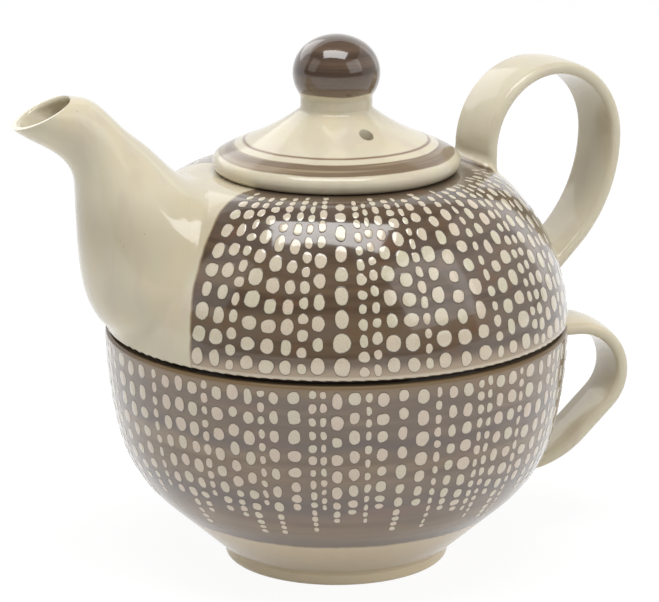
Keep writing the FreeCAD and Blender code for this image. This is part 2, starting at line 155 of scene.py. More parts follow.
# %% Benches
class Bench:
    """A node tree in the making."""

    def __init__(self, tree):
        self.tree = tree

    def node(self, kind, settings=None, inputs=None, output=0):
        """Adds a node, with its settings and its sockets, and gives one of its outputs."""
        made = self.tree.nodes.new(kind)
        for name, value in (settings or {}).items():
            setattr(made, name, value)
        for name, value in (inputs or {}).items():
            if isinstance(value, Wire):
                self.tree.links.new(value.socket, made.inputs[name])
            else:
                made.inputs[name].default_value = value
        return Wire(self, made.outputs[output]) if made.outputs else None

    def split(self, vector):
        """The x, y and z of a vector."""
        x = self.node("ShaderNodeSeparateXYZ", inputs={0: vector})
        return x, x.also("Y"), x.also("Z")

    def join(self, x, y, z):
        return self.node("ShaderNodeCombineXYZ", inputs={0: x, 1: y, 2: z})

    def stretch(self, vector, x, y, z):
        """A vector with each of its parts multiplied."""
        return self.node(
            "ShaderNodeVectorMath", {"operation": "MULTIPLY"}, {0: vector, 1: (x, y, z)})

    def length(self, across, up):
        """How far apart two spots are, from their distances across and up."""
        squares = across * across + up * up
        return squares.maths("SQRT", squares)

    def rise(self, value, low, high):
        """0 below low, 1 above high, eased in between."""
        return self.node(
            "ShaderNodeMapRange", {"interpolation_type": "SMOOTHSTEP"},
            {"Value": value, "From Min": low, "From Max": high})

    def hill(self, value, middle, width):
        """1 in the middle, falling to 0 one width to either side."""
        return 1 - self.rise(abs(value - middle), 0.0, width)

    def cloud(self, place, size, detail=2.0, roughness=0.5):
        """Soft noise from 0 to 1, whose patches are about this many mm across."""
        return self.node(
            "ShaderNodeTexNoise", inputs={
                "Vector": place, "Scale": 1.0 / size, "Detail": detail, "Roughness": roughness})

    def mix(self, share, first, second):
        """A colour between two colours."""
        return self.node("ShaderNodeMix", {"data_type": "RGBA"}, {0: share, 6: first, 7: second}, 2)


trial = Bench(bpy.data.node_groups.new("trial", "ShaderNodeTree"))
trial.rise(trial.node("ShaderNodeValue") * 2 + 1, 0.0, 1.0)
print("rise(value * 2 + 1) takes", len(trial.tree.nodes), "nodes")
bpy.data.node_groups.remove(trial.tree)

# %% [markdown]
# ## The studio
# The set stands on a plain white sweep, a sheet that curves up behind it, so there is no line where
# floor and wall meet. Camera and glaze see the sweep as even white, which its material does with
# Light Path. A part of it stays ordinary matt white, which takes the soft shadow under the foot.

# %% White paper
SEEN_WHITE = 0.88

sweep_white = bpy.data.materials.new("sweep_white")
sweep_white.use_nodes = True
paper = Bench(sweep_white.node_tree)
paper.tree.nodes.clear()
matt = paper.node("ShaderNodeBsdfDiffuse", inputs={"Color": (0.86, 0.86, 0.85, 1.0)})
white = paper.node("ShaderNodeEmission", inputs={
    "Color": (1.0, 1.0, 1.0, 1.0), "Strength": 1.05})
path = paper.node("ShaderNodeLightPath", output="Is Camera Ray")
seen = path.most(path.also("Is Glossy Ray")).most(path.also("Is Transmission Ray"))
paper.node("ShaderNodeOutputMaterial", inputs={"Surface": paper.node(
    "ShaderNodeMixShader", inputs={0: seen * SEEN_WHITE, 1: matt, 2: white})})
print("the sweep is seen as", SEEN_WHITE, "white and as matt paper for the rest")

# %% Sweep
HALF, BEND_AT, BEND, TALL = 4.0, 1.1, 0.5, 2.4  # half its width, where and how it bends, in metres
BEND_STEPS = 9
turns = [math.radians(90) * step / BEND_STEPS for step in range(BEND_STEPS + 1)]
profile = [(-HALF, 0.0)]
profile += [(BEND_AT + BEND * math.sin(turn), BEND - BEND * math.cos(turn)) for turn in turns]
profile += [(BEND_AT + BEND, TALL)]
sweep_mesh = bpy.data.meshes.new("sweep")
sweep_mesh.from_pydata(
    [(side, back, up) for back, up in profile for side in (-HALF, HALF)], [],
    [(2 * step, 2 * step + 1, 2 * step + 3, 2 * step + 2) for step in range(len(profile) - 1)])
sweep_mesh.polygons.foreach_set("use_smooth", [True] * len(sweep_mesh.polygons))
sweep_mesh.materials.append(sweep_white)
sweep = bpy.data.objects.new("sweep", sweep_mesh)
bpy.context.scene.collection.objects.link(sweep)
print("sweep:", len(sweep_mesh.polygons), "strips")

# %% [markdown]
# ### Air and lamps
# The air of the room gives a low even light. To the camera it is white, as the sweep is, and glaze
# sees it a little darker. A wide soft box hangs over the set and gives the broad highlight on knob,
# lid and shoulder. Two panels left and right give the paler windows at the sides of the knob. A
# large dim panel at the right lightens that side, and one behind at the left draws a light edge on
# lid and spout.

# %% Air
AIR, SEEN_AIR, MIRRORED_AIR = 0.30, 1.00, 0.22  # as light, to the camera, and in the glaze
room = bpy.data.worlds.new("room")
room.use_nodes = True
room_bench = Bench(room.node_tree)
room_bench.tree.nodes.clear()
path = room_bench.node("ShaderNodeLightPath", output="Is Camera Ray")
mirrored = path.also("Is Glossy Ray")
strength = path * (SEEN_AIR - AIR) - mirrored * (AIR - MIRRORED_AIR) + AIR
room_light = room_bench.node("ShaderNodeBackground", inputs={
    "Color": (0.99, 0.99, 1.0, 1.0), "Strength": strength})
room_bench.node("ShaderNodeOutputWorld", inputs={"Surface": room_light})
bpy.context.scene.world = room
print("air:", AIR, "as light,", SEEN_AIR, "to the camera")


# %% Lamps
def soft_box(name, azimuth, elevation, distance, wide, high, brightness):
    """A flat lamp. Its brightness is that of the cloth in front, where 1 is white."""
    data = bpy.data.lights.new(name, "AREA")
    data.shape = "RECTANGLE"
    data.size, data.size_y = wide, high
    data.energy = brightness * math.pi * wide * high
    print(name, round(data.energy, 2), "W")
    return aimed(bpy.data.objects.new(name, data), seen_from(azimuth, elevation, distance))


for lamp in (
        # name, azimuth and elevation in degrees, distance, width and height in m, brightness
        ("top_box", -28.0, 77.0, 1.00, 0.84, 0.46, 6.30),
        ("left_panel", -88.0, 29.0, 1.20, 0.50, 0.70, 0.70),
        ("right_panel", 37.0, 30.0, 1.20, 0.80, 0.75, 1.30),
        ("fill_panel", 88.0, 24.0, 1.60, 2.20, 1.40, 0.50),
        ("rim_panel", -160.0, 31.0, 1.20, 0.80, 0.60, 1.20)):
    soft_box(*lamp)

# %% [markdown]
# ## A glaze in general
# Stoneware glaze is glass: a coloured body under a clear glossy skin. Each recipe here works out a
# base colour, a little unevenness and a roughness from the place on the pot, measured in mm from
# the middle of the foot. Because the place comes from Object coordinates, colour bands follow the
# turned form exactly, as they do when a brush is held against a pot on the wheel.

# %% Shades
def as_light(part):
    """One part of a screen colour, 0 to 1, as the amount of light that it stands for."""
    return part / 12.92 if part < 0.04045 else ((part + 0.055) / 1.055) ** 2.4


def shade(red, green, blue):
    """A colour as it is read off a screen, 0 to 255, turned into the values a shader wants."""
    return (*[as_light(value / 255) for value in (red, green, blue)], 1.0)


OCHRE = shade(150, 118, 78)
# a dark brown: the dots' own rims, and the painted shade in the seam between pot and cup
DOT_RIM_AND_SEAM_SHADE = shade(38, 29, 22)
print("ochre as light:", [round(part, 3) for part in OCHRE[:3]])


# %% Glaze bench
UNEVEN_DEPTH = 0.30


class Glaze(Bench):
    """A glaze in the making: knows where on the set it is, in mm."""

    def __init__(self, name):
        self.material = bpy.data.materials.new(name)
        self.material.use_nodes = True
        super().__init__(self.material.node_tree)
        self.tree.nodes.clear()
        place = self.node("ShaderNodeTexCoord", output="Object")
        self.place = self.stretch(place, 1 / MM, 1 / MM, 1 / MM)

    def attribute(self, name):
        """A number that the mesh keeps at each of its points."""
        return self.node("ShaderNodeAttribute", {"attribute_name": name}, output="Fac")

    def fire(self, colour, roughness, unevenness, gloss):
        """Closes the recipe with the glossy shader. The gloss is how much clear skin there is."""
        bump = self.node("ShaderNodeBump", inputs={
            "Strength": 0.35, "Distance": UNEVEN_DEPTH * MM, "Height": unevenness})
        shader = self.node("ShaderNodeBsdfPrincipled", inputs={
            "Base Color": colour, "Roughness": roughness, "Normal": bump, "IOR": 1.45,
            "Specular IOR Level": 0.2, "Coat Weight": gloss, "Coat Roughness": 0.07,
            "Coat IOR": 1.6})
        self.node("ShaderNodeOutputMaterial", inputs={"Surface": shader})
        return self.material


print("the glaze is uneven by up to", UNEVEN_DEPTH, "mm")

# %% [markdown]
# ## Cream glaze
# Spout, handles, dome and foot are covered with one cream glaze. It is thicker and cooler in some
# places, warmer where it runs thin, a little pinker in upright runs, and a few iron specks burn
# through it. Broad soft noise gives the first three, small noise cut off near its top the specks.
# Half way up the spout, where the glaze gathered before it set, it is a shade deeper.

# %% Cream
CREAM = shade(214, 205, 180)
CREAM_GREY = shade(200, 191, 166)
CREAM_WARM = shade(222, 202, 162)
CREAM_PINK = shade(205, 190, 172)
CREAM_DEEP = shade(182, 170, 144)
GATHERED_AT, GATHERED_TALL = 97.0, 13.0


def cream(bench, place):
    """The cream glaze at a place in mm."""
    drift = bench.rise(bench.cloud(place, 26.0, 3.0), 0.35, 0.7)
    warmth = bench.rise(bench.cloud(bench.stretch(place, 1.0, 1.0, 0.6), 11.0, 2.0), 0.48, 0.72)
    colour = bench.mix(drift * 0.55, CREAM, CREAM_GREY)
    colour = bench.mix(warmth * 0.30, colour, CREAM_WARM)
    runs = bench.rise(bench.cloud(bench.stretch(place, 1.0, 1.0, 0.25), 7.0, 2.0), 0.5, 0.72)
    colour = bench.mix(runs * 0.50, colour, CREAM_PINK)
    x, _, z = bench.split(place)
    gathered = bench.hill(z, GATHERED_AT, GATHERED_TALL) * bench.rise(-1 * x, 34.0, 46.0)
    colour = bench.mix(gathered * 0.5, colour, CREAM_DEEP)
    specks = bench.rise(bench.cloud(place, 1.1, 1.0), 0.78, 0.83)
    return bench.mix(specks * 0.5, colour, OCHRE)


print("cream gathers on the spout at", GATHERED_AT, "mm, give or take", GATHERED_TALL)

# %% [markdown]
# ## Where the brown glaze lies
# The decorator brushes brown glaze over the walls of pot and cup, and leaves the spout, the handles
# and the foot cream. On the pot the spout keeps a cream field, whose sides lean in towards the top.
# A spot belongs to the wall when it lies on the turned outline, so the distance to the outline's
# arcs tells wall from spout and handle. These functions only use nodes that shaders and Geometry
# Nodes share, so the dots can ask the same question later.

# %% The turned outline
SEAM_RADIUS, SEAM_HEIGHT = 62.5, 65.2
# an arc is the radius and the height of its centre, and its own radius, in mm
POT_SIDE = (9.902, SEAM_HEIGHT, 52.598)
POT_SHOULDER = (34.4, 88.86, 18.54)
CUP_SIDE = (-SEAM_RADIUS, SEAM_HEIGHT, 125.0)
CUP_BELLY = (23.98, 45.92, 36.4)
POT_JOIN, CUP_JOIN = 101.74, 38.0  # the height at which the two arcs of each meet


def off_arc(bench, radius, z, arc):
    """How far a spot is from an arc of a turned outline."""
    return abs(bench.length(radius - arc[0], z - arc[1]) - arc[2])


print("widest at the seam:", POT_SIDE[0] + POT_SIDE[2], "and", CUP_SIDE[0] + CUP_SIDE[2], "mm")

# %% [markdown]
# ### Cream round the handles
# Where a handle was pressed on, the brush kept clear of it. Each root has a cream patch about the
# shape of an ellipse. The upper root of the pot's loop lies on the shoulder and is measured on the
# level, the others on the upright wall.

# %% Cream patches
# a patch is where its middle is, across and up, and half its width and height, in mm
LOOP_TOP_AT, LOOP_TURNED = 43.5, math.radians(15)
LOOP_TOP = (0.0, 0.0, 6.5, 12.5)
LOOP_TAIL = (5.9, 77.0, 12.6, 8.6)
EAR_TOP = (0.0, 58.6, 12.4, 7.2)
EAR_TAIL = (0.0, 31.0, 11.6, 8.6)


def waver(bench, place):
    """How unsteady the hand with the brush is at a spot, to either side of 0."""
    return bench.cloud(place, 7.0, 2.0) - 0.5


def off_patch(bench, across, up, patch, margin, wobble):
    """0 in a cream patch, 1 past it, with an unsteady edge."""
    middle_across, middle_up, half_wide, half_tall = patch
    past = bench.length(
        (across - middle_across) / (half_wide + margin), (up - middle_up) / (half_tall + margin))
    return bench.rise(past + wobble * 0.12, 0.94, 1.03)


print("the patch on the shoulder is", 2 * LOOP_TOP[2], "by", 2 * LOOP_TOP[3], "mm")


# %% Brown on the pot
def from_spout(x, y):
    """How many degrees a spot is turned away from the spout, to either side."""
    return x.maths("ARCTAN2", abs(y), -1 * x) * (180 / math.pi)


def spout_field(z):
    """Where the cream field of the spout ends, in degrees."""
    return 35.5 - 0.125 * (z - 68.0)


def pot_brown(bench, place, margin=0.0, soft=0.5):
    """1 where the pot is brown. A margin, in mm, keeps further away from the cream."""
    x, y, z = bench.split(place)
    radius = bench.length(x, y)
    wobble = waver(bench, place)
    side = off_arc(bench, radius, z, POT_SIDE)
    above = z > POT_JOIN
    gap = side + (off_arc(bench, radius, z, POT_SHOULDER) - side) * above
    # close to the seam the edge is rounded off, and it is wall all the same
    wall = 1 - bench.rise(gap * bench.rise(z, 67.5, 69.5), 0.35, 1.1)
    past = (from_spout(x, y) - spout_field(z)) * radius * (math.pi / 180) + wobble * 1.6
    spout = bench.rise(past, margin - soft, margin + soft)
    cosine, sine = math.cos(LOOP_TURNED), math.sin(LOOP_TURNED)
    along = (x - LOOP_TOP_AT) * cosine + y * sine
    over = y * cosine - (x - LOOP_TOP_AT) * sine
    # a patch counts only on its own side of the pot
    upper = off_patch(bench, along, over, LOOP_TOP, margin, wobble).most(z < 92.0)
    lower = off_patch(bench, y, z, LOOP_TAIL, margin, wobble).most(x < 20.0)
    return wall * spout * upper * lower


# %% Brown on the cup
BROWN_FROM = 16.0


def cup_brown(bench, place, margin=0.0, soft=0.5):
    """1 where the cup is brown, with a margin as on the pot."""
    x, y, z = bench.split(place)
    radius = bench.length(x, y)
    wobble = waver(bench, place)
    belly = off_arc(bench, radius, z, CUP_BELLY)
    above = z > CUP_JOIN
    gap = belly + (off_arc(bench, radius, z, CUP_SIDE) - belly) * above
    # rim and foot leave the arcs, and they are wall all the same
    wall = 1 - bench.rise(gap * (z > 20.0) * (z < 63.5), 0.35, 1.1)
    edge = BROWN_FROM + margin
    foot = bench.rise(z + wobble * 1.2, edge - soft, edge + soft)
    upper = off_patch(bench, y, z, EAR_TOP, margin, wobble).most(x < 20.0)
    lower = off_patch(bench, y, z, EAR_TAIL, margin, wobble).most(x < 20.0)
    return wall * foot * upper * lower


print("the cup is brown from", BROWN_FROM, "mm up")

# %% [markdown]
# ## Brown glaze
# The brown is laid on with a wide brush while the pot turns, so it is streaked round and round:
# dark where it pooled, greyish mauve where it is thin. Noise that is squeezed a lot in height and
# hardly across gives such streaks, without a seam anywhere. On the pot the last band above the seam
# is paler, and its rounded lower edge is painted pale as a highlight. On the cup the glaze pooled
# in two bands, is darker at the foot, and was wiped off the rim.

# %% The pot's brown
UMBER = shade(78, 61, 45)
BROWN = shade(110, 90, 68)
MAUVE = shade(104, 93, 86)
RUST = shade(112, 78, 54)
THIN_BROWN = shade(176, 155, 130)
EDGE_HIGHLIGHT = shade(206, 192, 170)


def brushed(bench, place, fine):
    """Streaks round the pot, 0 to 1, fine or broad."""
    return bench.cloud(bench.stretch(place, 0.05, 0.05, 1.0), fine, 3.0, 0.6)


def pot_ground(bench, place):
    """The brown of the pot, from streaks and patches down to the pale band above the seam, with a
    painted highlight on its rounded lower edge.
    """
    z = bench.split(place)[2]
    colour = bench.mix(bench.rise(brushed(bench, place, 5.0), 0.36, 0.66), UMBER, BROWN)
    patches = bench.rise(bench.cloud(bench.stretch(place, 1.0, 1.0, 2.0), 16.0, 2.0), 0.46, 0.64)
    colour = bench.mix(patches * 0.4, colour, MAUVE)
    rust = bench.rise(bench.cloud(bench.stretch(place, 1.0, 1.0, 1.6), 9.0, 2.0), 0.56, 0.7)
    colour = bench.mix(rust * 0.5, colour, RUST)
    lowest = 1 - bench.rise(z + (bench.cloud(place, 14.0) - 0.5) * 1.5, 67.8, 71.5)
    colour = bench.mix(lowest * 0.85, colour, THIN_BROWN)
    # the rounded lower edge is painted pale: a painted highlight
    return bench.mix((1 - bench.rise(z, 67.1, 67.9)) * 0.9, colour, EDGE_HIGHLIGHT)


# %% The cup's brown
MILKY_DARK, MILKY_PALE = shade(120, 100, 78), shade(146, 126, 102)
POOLED = shade(97, 86, 83)
PINKISH = shade(134, 106, 90)
BY_THE_FOOT = shade(90, 74, 58)
BY_THE_RIM, ON_THE_RIM = shade(132, 110, 84), shade(126, 104, 74)
UPPER_POOL, LOWER_POOL = (49.5, 4.5), (31.0, 9.0)  # height and half width, in mm


def cup_ground(bench, place):
    """The brown of the cup: milkier than the pot's, and pooled in two bands."""
    z = bench.split(place)[2]
    streaks = bench.rise(brushed(bench, place, 6.0), 0.34, 0.66)
    colour = bench.mix(streaks, MILKY_DARK, MILKY_PALE)
    drift = (bench.cloud(place, 40.0) - 0.5) * 0.4
    bands = bench.rise(brushed(bench, place, 15.0) + drift, 0.46, 0.6)
    wavy = z + (bench.cloud(place, 16.0) - 0.5) * 7.0
    pools = bench.hill(wavy, *UPPER_POOL).most(bench.hill(wavy, *LOWER_POOL))
    colour = bench.mix((bands * 0.45).most(pools * 0.8), colour, POOLED)
    pink = bench.rise(bench.cloud(bench.stretch(place, 0.3, 0.3, 1.0), 7.0, 2.0), 0.55, 0.7)
    colour = bench.mix(pink * 0.45, colour, PINKISH)
    low = 1 - bench.rise(z, 17.0, 27.0)
    colour = bench.mix(low * 0.6, colour, BY_THE_FOOT)
    top = bench.rise(z, 61.6, 62.8)
    colour = bench.mix(top * 0.6, colour, BY_THE_RIM)
    return bench.mix(bench.rise(z, 63.6, 64.6) * 0.7, colour, ON_THE_RIM)


print("the cup's glaze pooled at", LOWER_POOL[0], "and", UPPER_POOL[0], "mm")

# %% [markdown]
# ### The pot's and the cup's own glaze
# Cream and brown are laid on one shader, with a thin line of burnt ochre where they meet. The seam
# between pot and cup is painted near black: painted shade, where no light gets in. The lowest band
# of the cup's foot is painted lighter: painted light against the shade that falls on it. The brown
# is glossier than the cream and shows the brush, and a wiped or thin place is dull.

# %% Cream and brown together
def dressed(bench, place, brown, ground):
    """Cream where there is no brown, and a thin line of burnt ochre where the two meet."""
    body = bench.mix(brown, cream(bench, place), ground)
    edge = brown * (1 - brown) * 4.0
    return bench.mix(edge * 0.45, body, OCHRE)


def cup_dull(bench, place):
    """How dull the cup's glaze is: its rim was wiped, and near the foot the glaze is thin."""
    z = bench.split(place)[2]
    return bench.rise(z, 63.9, 64.7).most((1 - bench.rise(z, 14.0, 34.0)) * 0.85)


def finish(glaze, colour, brown, dull=0.0):
    """Closes a glaze. Brown shows the brush and is glossier, cream is smoother."""
    swell = glaze.cloud(glaze.place, 9.0, 2.0)
    lines = brushed(glaze, glaze.place, 1.6)
    height = swell * 0.7 + lines * (brown * 0.10 + 0.04)
    roughness = 0.13 + glaze.cloud(glaze.place, 5.0, 2.0) * 0.08
    return glaze.fire(colour, roughness, height, (brown * 0.55 + 0.45) * (1 - dull))


# %% The pot's glaze
SEAM_SHADE_TO, SEAM_SHADE_GONE = 66.44, 66.72
pot_glaze = Glaze("pot_glaze")
pot_field = pot_brown(pot_glaze, pot_glaze.place)
pot_colour = dressed(pot_glaze, pot_glaze.place, pot_field, pot_ground(pot_glaze, pot_glaze.place))
pot_z = pot_glaze.split(pot_glaze.place)[2]
# below these heights the pot is painted near black: painted shade in the gap above the cup's rim
seam_shade = 1 - pot_glaze.rise(pot_z, SEAM_SHADE_TO, SEAM_SHADE_GONE)
finish(pot_glaze, pot_glaze.mix(seam_shade, pot_colour, DOT_RIM_AND_SEAM_SHADE), pot_field)
print("the pot's glaze has", len(pot_glaze.tree.nodes), "nodes")

# %% The cup's glaze
THIN_CREAM, FOOT_PAINTED_LIGHT = shade(200, 176, 138), shade(246, 231, 202)
cup_glaze = Glaze("cup_glaze")
cup_field = cup_brown(cup_glaze, cup_glaze.place)
cup_z = cup_glaze.split(cup_glaze.place)[2]
cup_colour = dressed(cup_glaze, cup_glaze.place, cup_field, cup_ground(cup_glaze, cup_glaze.place))
thin_glaze = (1 - cup_field) * (1 - cup_glaze.rise(cup_z, 15.0, 24.0))
cup_colour = cup_glaze.mix(thin_glaze * 0.7, cup_colour, THIN_CREAM)
# the lowest band of the foot is painted lighter: painted light against the shade that falls there
painted_foot_light = 1 - cup_glaze.rise(cup_z, 3.4, 5.2)
cup_colour = cup_glaze.mix(painted_foot_light * 0.9, cup_colour, FOOT_PAINTED_LIGHT)
finish(cup_glaze, cup_colour, cup_field, cup_dull(cup_glaze, cup_glaze.place))
print("the cup's glaze has", len(cup_glaze.tree.nodes), "nodes")

# %% [markdown]
# ## The lid's bands
# The lid was banded on the wheel too: a brown knob, a fine brown line in the groove at the foot of
# the dome, a cream stripe, and a broad brown band brushed up to the rolled rim. All of them depend
# only on the radius or the height, with a slight wobble from the hand that held the brush.

# %% Where the lid's bands lie
# a soft edge starts at its first number and is complete at its second, in mm
KNOB_FROM, OUTSIDE_FROM = (128.6, 129.2), (109.2, 109.8)
BAND_FROM, BAND_TO = (27.0, 27.5), (31.3, 31.9)
GROOVE = (24.75, 0.74)  # radius and half width

lid_glaze = Glaze("lid_glaze")
lid_place = lid_glaze.place
lid_x, lid_y, lid_z = lid_glaze.split(lid_place)
lid_radius = lid_glaze.length(lid_x, lid_y)
hand = lid_glaze.cloud(lid_place, 12.0, 2.0) - 0.5

knob = lid_glaze.rise(lid_z + hand * 1.2, *KNOB_FROM)
outside = lid_glaze.rise(lid_z, *OUTSIDE_FROM)
band = lid_glaze.rise(lid_radius + hand * 0.8, *BAND_FROM) * (
    1 - lid_glaze.rise(lid_radius + hand * 0.8, *BAND_TO)) * outside
groove = lid_glaze.hill(lid_radius + hand * 0.5, *GROOVE) * (lid_z > 112.0)
print("the lid's band is", round(BAND_TO[0] - BAND_FROM[1], 1), "mm wide")

# %% The lid's glaze
BAND_DARK, BAND_PALE = shade(112, 90, 68), shade(156, 138, 112)
KNOB_DARK, KNOB_BROWN, KNOB_NECK_REFLECTION = shade(72, 55, 43), shade(102, 82, 66), shade(132, 113, 93)
GROOVE_BROWN = shade(118, 85, 57)

ring_streaks = lid_glaze.cloud(
    lid_glaze.join(lid_radius, lid_x * 0.03, lid_y * 0.03), 1.5, 3.0, 0.6)
knob_streaks = brushed(lid_glaze, lid_place, 4.0)
band_brown = lid_glaze.mix(lid_glaze.rise(ring_streaks, 0.45, 0.72), BAND_DARK, BAND_PALE)
knob_brown = lid_glaze.mix(lid_glaze.rise(knob_streaks, 0.35, 0.65), KNOB_DARK, KNOB_BROWN)
# the lower part of the knob is painted paler: a painted reflection of the cream lid below it
neck_reflection = 1 - lid_glaze.rise(lid_z, 129.0, 136.0)
knob_brown = lid_glaze.mix(neck_reflection * 0.6, knob_brown, KNOB_NECK_REFLECTION)
lid_colour = cream(lid_glaze, lid_place)
lid_colour = lid_glaze.mix(band * (0.82 + ring_streaks * 0.2), lid_colour, band_brown)
lid_colour = lid_glaze.mix(groove * 0.92, lid_colour, GROOVE_BROWN)
lid_colour = lid_glaze.mix(knob, lid_colour, knob_brown)
finish(lid_glaze, lid_colour, knob)

for piece, glaze in (("teapot", pot_glaze), ("cup", cup_glaze), ("lid", lid_glaze)):
    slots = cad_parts[piece].material_slots
    for slot in slots:
        slot.material = glaze.material
    print(piece, "wears", glaze.material.name, "in", len(slots), "slot")

# %% [markdown]
# ## Slip dots
# The pattern is rows of pale slip dots, laid on one by one in columns that follow the wall. Each is
# a flat blob with a soft edge and a darker rim where the glaze drew back. Hundreds of them follow
# one rule, so Geometry Nodes lay them out, from one small blank of a few dozen faces. Painting them
# in the shader would also work, but blobs of real slip stand a little proud and catch the light.

# %% The blank
TOP = 0.10
RINGS = ((0.76, 0.085, 0.25), (1.0, 0.025, 0.70), (1.20, -0.060, 1.0))
AROUND = 14
SQUARENESS = 2.3  # 2 would be a circle


def blob_blank():
    """One dot, two units across: rings of size, height in mm and how near its edge it is."""
    points, marks = [(0.0, 0.0, TOP)], [0.0]
    for size, height, mark in RINGS:
        for step in range(AROUND):
            turn = 2 * math.pi * step / AROUND
            across, up = math.cos(turn), math.sin(turn)
            square = (abs(across) ** SQUARENESS + abs(up) ** SQUARENESS) ** (-1 / SQUARENESS)
            points.append((size * square * across, size * square * up, height))
            marks.append(mark)
    faces = [(0, 1 + step, 1 + (step + 1) % AROUND) for step in range(AROUND)]
    for ring in range(len(RINGS) - 1):
        start = 1 + ring * AROUND
        for step in range(AROUND):
            after = (step + 1) % AROUND
            faces.append(
                (start + step, start + AROUND + step, start + AROUND + after, start + after))
    faces.append(tuple(reversed(range(len(points) - AROUND, len(points)))))
    mesh = bpy.data.meshes.new("blob_blank")
    mesh.from_pydata(points, [], faces)
    mesh.attributes.new("edge", "FLOAT", "POINT").data.foreach_set("value", marks)
    return bpy.data.objects.new("blob_blank", mesh)


blank = blob_blank()
print("one dot has", len(blank.data.polygons), "faces")

# %% [markdown]
# ### The outline that the columns climb
# A column of dots runs along the turned outline. The outline is a row of points on its two arcs, in
# the half-plane to the right of the axis, from the row nearest the seam to the last one. On the cup
# it goes on from the belly's arc in a straight line, a cone that stands on the foot.

# %% Outlines
def on_arc(arc, first, last, steps):
    """Points of an arc, from one angle to the other in degrees."""
    turns = [math.radians(first + (last - first) * step / steps) for step in range(steps + 1)]
    return [(arc[0] + arc[2] * math.cos(turn), arc[1] + arc[2] * math.sin(turn)) for turn in turns]


def angle_at(arc, z):
    """At which angle an arc of the outline reaches a height, in degrees."""
    return math.degrees(math.asin((z - arc[1]) / arc[2]))


def outline(name, corners):
    """A chain of edges through points given as radius and height in mm."""
    mesh = bpy.data.meshes.new(name)
    mesh.from_pydata(
        [(across * MM, 0.0, up * MM) for across, up in corners],
        [(step, step + 1) for step in range(len(corners) - 1)], [])
    return bpy.data.objects.new(name, mesh)


# %% The pot's and the cup's line
PAST_THE_TOP = 96.0  # where the pot's line ends on the shoulder, in degrees
FOOT_RADIUS, FOOT_HEIGHT = 30.6, 3.0

pot_join = angle_at(POT_SIDE, POT_JOIN)
pot_line = outline("pot_line", [
    *on_arc(POT_SIDE, 0.0, pot_join, 40),
    *on_arc(POT_SHOULDER, pot_join, PAST_THE_TOP, 24)[1:]])

cup_join = angle_at(CUP_SIDE, CUP_JOIN)
inward, upward = CUP_BELLY[0] - FOOT_RADIUS, CUP_BELLY[1] - FOOT_HEIGHT
cone = math.degrees(
    math.atan2(upward, inward) - math.asin(CUP_BELLY[2] / math.hypot(inward, upward)))
cup_line = outline("cup_line", [
    *on_arc(CUP_SIDE, 0.0, cup_join, 24),
    *on_arc(CUP_BELLY, cup_join, cone - 90.0, 30)[1:],
    (FOOT_RADIUS, FOOT_HEIGHT)])
print("the cup's cone leans at", round(cone, 1), "degrees")

# %% [markdown]
# ### A tree for patterns
# A pattern is made by a tree of Geometry Nodes. Its sizes are named inputs, so that pot and cup can
# use the same rule with different numbers. The last number of each `chance` is its seed: draws with
# different seeds have nothing to do with each other, and each comes out the same every time.

# %% Patterns
class Pattern(Bench):
    """A Geometry Nodes tree in the making, with named sizes."""

    def __init__(self, name):
        super().__init__(bpy.data.node_groups.new(name, "GeometryNodeTree"))
        for way in ("OUTPUT", "INPUT"):
            self.tree.interface.new_socket(
                "Geometry", in_out=way, socket_type="NodeSocketGeometry")
        self.given = self.node("NodeGroupInput")

    def asks(self, name, kind="Float"):
        """A named input of the tree."""
        self.tree.interface.new_socket(name, in_out="INPUT", socket_type="NodeSocket" + kind)
        return self.given.also(name)

    def chance(self, low, high, number, seed):
        """An even random number that belongs to a column or a dot."""
        return self.node(
            "FunctionNodeRandomValue", {"data_type": "FLOAT"},
            {2: low, 3: high, 7: number, 8: seed}, 1)

    def running(self, value, group=None):
        """The sum so far, the value itself included."""
        inputs = {0: value} if group is None else {0: value, 1: group}
        return self.node("GeometryNodeAccumulateField", {"data_type": "FLOAT"}, inputs)

    def keep(self, geometry, name, value):
        """Stores a value at every point under a name."""
        return self.node(
            "GeometryNodeStoreNamedAttribute", {"data_type": "FLOAT", "domain": "POINT"},
            {0: geometry, 2: name, 3: value})

    def kept(self, name):
        """A value that was stored at every point under a name."""
        return self.node("GeometryNodeInputNamedAttribute", {"data_type": "FLOAT"}, {0: name})


# %% [markdown]
# ### Columns on a flat sheet
# The pattern is first laid out flat, as on a sheet of paper wrapped round the pot: across is the
# angle, up is the way along the outline. Columns are of two kinds. Wide ones have large dots, and
# after about three of them comes a narrow one with small dots close together. An Accumulate Field
# node adds up the widths of the columns, so they never overlap. Here and there a wider gap is left.

# %% Columns
GAP_CHANCE, GAP = 0.18, 0.34  # how many columns have a gap, and its width in columns


def place_columns(tree, column, row):
    """Whether a column is narrow, 0 or 1, its turn round the pot, and its part of a full turn."""
    share, narrow_width = tree.asks("Narrow share"), tree.asks("Narrow width")
    beat = column * share
    narrow = beat - beat.floor() + tree.chance(-0.06, 0.06, column, 3) < share
    width = (1 - narrow + narrow * narrow_width) * tree.chance(0.84, 1.16, column, 5)
    room = width + (tree.chance(0.0, 1.0, column, 27) < GAP_CHANCE) * GAP
    widths = tree.running(room * (row < 0.5))
    around = widths.also("Total")
    return narrow, (widths - room / 2) / around * (2 * math.pi), width / around


# %% [markdown]
# ### Dots in a column
# A second Accumulate Field node adds up the heights of the dots in each column. The dots are of one
# size at first and get smaller towards the end of the column. Each column starts and ends a little
# earlier or later than its neighbours.

